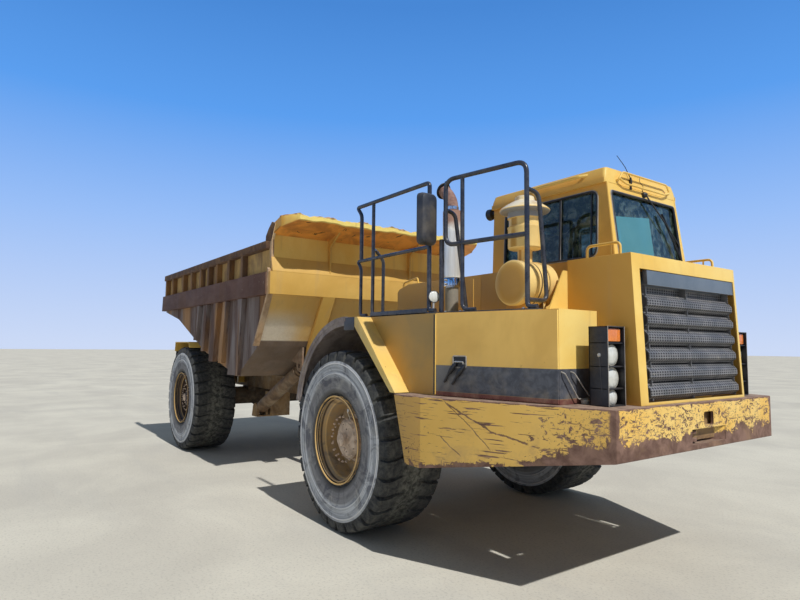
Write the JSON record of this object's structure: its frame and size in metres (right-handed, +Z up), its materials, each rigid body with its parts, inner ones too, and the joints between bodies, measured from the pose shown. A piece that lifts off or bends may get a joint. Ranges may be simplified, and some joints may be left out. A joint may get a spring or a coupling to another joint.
{
  "type": "articulated dump truck",
  "caption": "Two-axle articulated dump truck with a steering hitch, a tipping bed raised by telescopic hoist cylinders, a central cab and a yellow front unit.",
  "frame": {"origin": "on the ground under the middle of the truck", "axes": "+X forward along the truck, +Y to its left, +Z up"},
  "size_m": [10.55, 3.6, 3.7027],
  "materials": {
    "yellow_paint": "worn satin",
    "black_paint": "satin",
    "bumper_paint": "scratched and rusty",
    "frame_paint": "dusty",
    "bed_steel": "rusty",
    "grille_paint": "satin",
    "arch_rubber": "matt",
    "cab_trim": "matt",
    "seat_cloth": "woven",
    "tinted_glass": "tinted",
    "tyre_rubber": "dusty",
    "rim_paint": "dusty",
    "rod_chrome": "polished",
    "exhaust_steel": "heat stained",
    "engine_iron": "oily"
  },
  "bodies": {
    "front_unit": {"front_frame": "frame_paint", "front_bumper": "bumper_paint", "engine": "engine_iron", "hood": "yellow_paint", "grille": "grille_paint", "deck_boxes": "yellow_paint", "wheel_arches": "arch_rubber", "headlamps": "black_paint", "cab_shell": "yellow_paint", "cab_roof": "yellow_paint", "cab_glass": "tinted_glass", "cab_seat": "seat_cloth", "cab_console": "cab_trim", "deck_rails": "black_paint", "exhaust": "exhaust_steel", "air_cleaner": "yellow_paint", "rear_casing": "yellow_paint", "mirrors": "black_paint", "front_axle": "frame_paint", "steer_barrels": "black_paint"},
    "cab_door": {"cab_door": "yellow_paint", "cab_door_glass": "tinted_glass"},
    "hitch": {"hitch": "frame_paint"},
    "rear_unit": {"rear_frame": "frame_paint", "rear_axle": "frame_paint", "rear_mudguards": "yellow_paint"},
    "bed": {"bed_shell": "bed_steel", "bed_ribs": "bed_steel", "bed_canopy": "yellow_paint"},
    "hoist_barrel_right": {"hoist_barrel_right": "bed_steel"},
    "hoist_stage_right": {"hoist_stage_right": "frame_paint"},
    "hoist_rod_right": {"hoist_rod_right": "rod_chrome"},
    "hoist_barrel_left": {"hoist_barrel_left": "bed_steel"},
    "hoist_stage_left": {"hoist_stage_left": "frame_paint"},
    "hoist_rod_left": {"hoist_rod_left": "rod_chrome"},
    "steer_rod_right": {"steer_rod_right": "rod_chrome"},
    "steer_rod_left": {"steer_rod_left": "rod_chrome"},
    "wheel_front_right": {"tyre_front_right": "tyre_rubber", "rim_front_right": "rim_paint"},
    "wheel_front_left": {"tyre_front_left": "tyre_rubber", "rim_front_left": "rim_paint"},
    "wheel_rear_right": {"tyre_rear_right": "tyre_rubber", "rim_rear_right": "rim_paint"},
    "wheel_rear_left": {"tyre_rear_left": "tyre_rubber", "rim_rear_left": "rim_paint"}
  },
  "joints": [
    {"name": "steering", "type": "hinge", "parent": "front_unit", "child": "hitch", "pos_m": [0.865, 0, 1.1], "axis": [0, 0, 1], "range_deg": [-42, 42]},
    {"name": "oscillation", "type": "hinge", "parent": "hitch", "child": "rear_unit", "pos_m": [0.365, 0, 1.1], "axis": [1, 0, 0], "range_deg": [-10, 10]},
    {"name": "bed_tip", "type": "hinge", "parent": "rear_unit", "child": "bed", "pos_m": [-4.335, 0, 1.56], "axis": [0, -1, 0], "range_deg": [0, 65]},
    {"name": "hoist_swing_right", "type": "hinge", "parent": "rear_unit", "child": "hoist_barrel_right", "pos_m": [-1.935, -0.9, 0.85], "axis": [0, -1, 0], "range_deg": [0, 74.52]},
    {"name": "hoist_stage_slide_right", "type": "slide", "parent": "hoist_barrel_right", "child": "hoist_stage_right", "axis": [0.904, 0, 0.4276], "range_m": [0, 1.3272]},
    {"name": "hoist_rod_slide_right", "type": "slide", "parent": "hoist_stage_right", "child": "hoist_rod_right", "axis": [0.904, 0, 0.4276], "range_m": [0, 1.3272]},
    {"name": "hoist_swing_left", "type": "hinge", "parent": "rear_unit", "child": "hoist_barrel_left", "pos_m": [-1.935, 0.9, 0.85], "axis": [0, -1, 0], "range_deg": [0, 74.52]},
    {"name": "hoist_stage_slide_left", "type": "slide", "parent": "hoist_barrel_left", "child": "hoist_stage_left", "axis": [0.904, 0, 0.4276], "range_m": [0, 1.3272]},
    {"name": "hoist_rod_slide_left", "type": "slide", "parent": "hoist_stage_left", "child": "hoist_rod_left", "axis": [0.904, 0, 0.4276], "range_m": [0, 1.3272]},
    {"name": "steer_slide_right", "type": "slide", "parent": "front_unit", "child": "steer_rod_right", "axis": [-0.9606, 0.2781, 0], "range_m": [-0.294, 0.294]},
    {"name": "steer_slide_left", "type": "slide", "parent": "front_unit", "child": "steer_rod_left", "axis": [-0.9606, -0.2781, 0], "range_m": [-0.294, 0.294]},
    {"name": "roll_front_right", "type": "hinge", "parent": "front_unit", "child": "wheel_front_right", "pos_m": [2.265, -1.425, 0.95], "axis": [0, 1, 0], "continuous": true},
    {"name": "roll_front_left", "type": "hinge", "parent": "front_unit", "child": "wheel_front_left", "pos_m": [2.265, 1.425, 0.95], "axis": [0, 1, 0], "continuous": true},
    {"name": "roll_rear_right", "type": "hinge", "parent": "rear_unit", "child": "wheel_rear_right", "pos_m": [-3.595, -1.425, 0.95], "axis": [0, 1, 0], "continuous": true},
    {"name": "roll_rear_left", "type": "hinge", "parent": "rear_unit", "child": "wheel_rear_left", "pos_m": [-3.595, 1.425, 0.95], "axis": [0, 1, 0], "continuous": true},
    {"name": "door_swing", "type": "hinge", "parent": "front_unit", "child": "cab_door", "pos_m": [3.565, 0.604, 2.8], "axis": [0, 0, 1], "range_deg": [0, 95]}
  ],
  "couplings": [
    {"joint": "hoist_swing_right", "follows": "bed_tip", "ratio": 1.1434},
    {"joint": "hoist_stage_slide_right", "follows": "bed_tip", "m_per_rad": 1.1673},
    {"joint": "hoist_rod_slide_right", "follows": "bed_tip", "m_per_rad": 1.1673},
    {"joint": "hoist_swing_left", "follows": "bed_tip", "ratio": 1.1434},
    {"joint": "hoist_stage_slide_left", "follows": "bed_tip", "m_per_rad": 1.1673},
    {"joint": "hoist_rod_slide_left", "follows": "bed_tip", "m_per_rad": 1.1673},
    {"joint": "steer_slide_right", "follows": "steering", "m_per_rad": -0.39831},
    {"joint": "steer_slide_left", "follows": "steering", "m_per_rad": 0.39831}
  ]
}
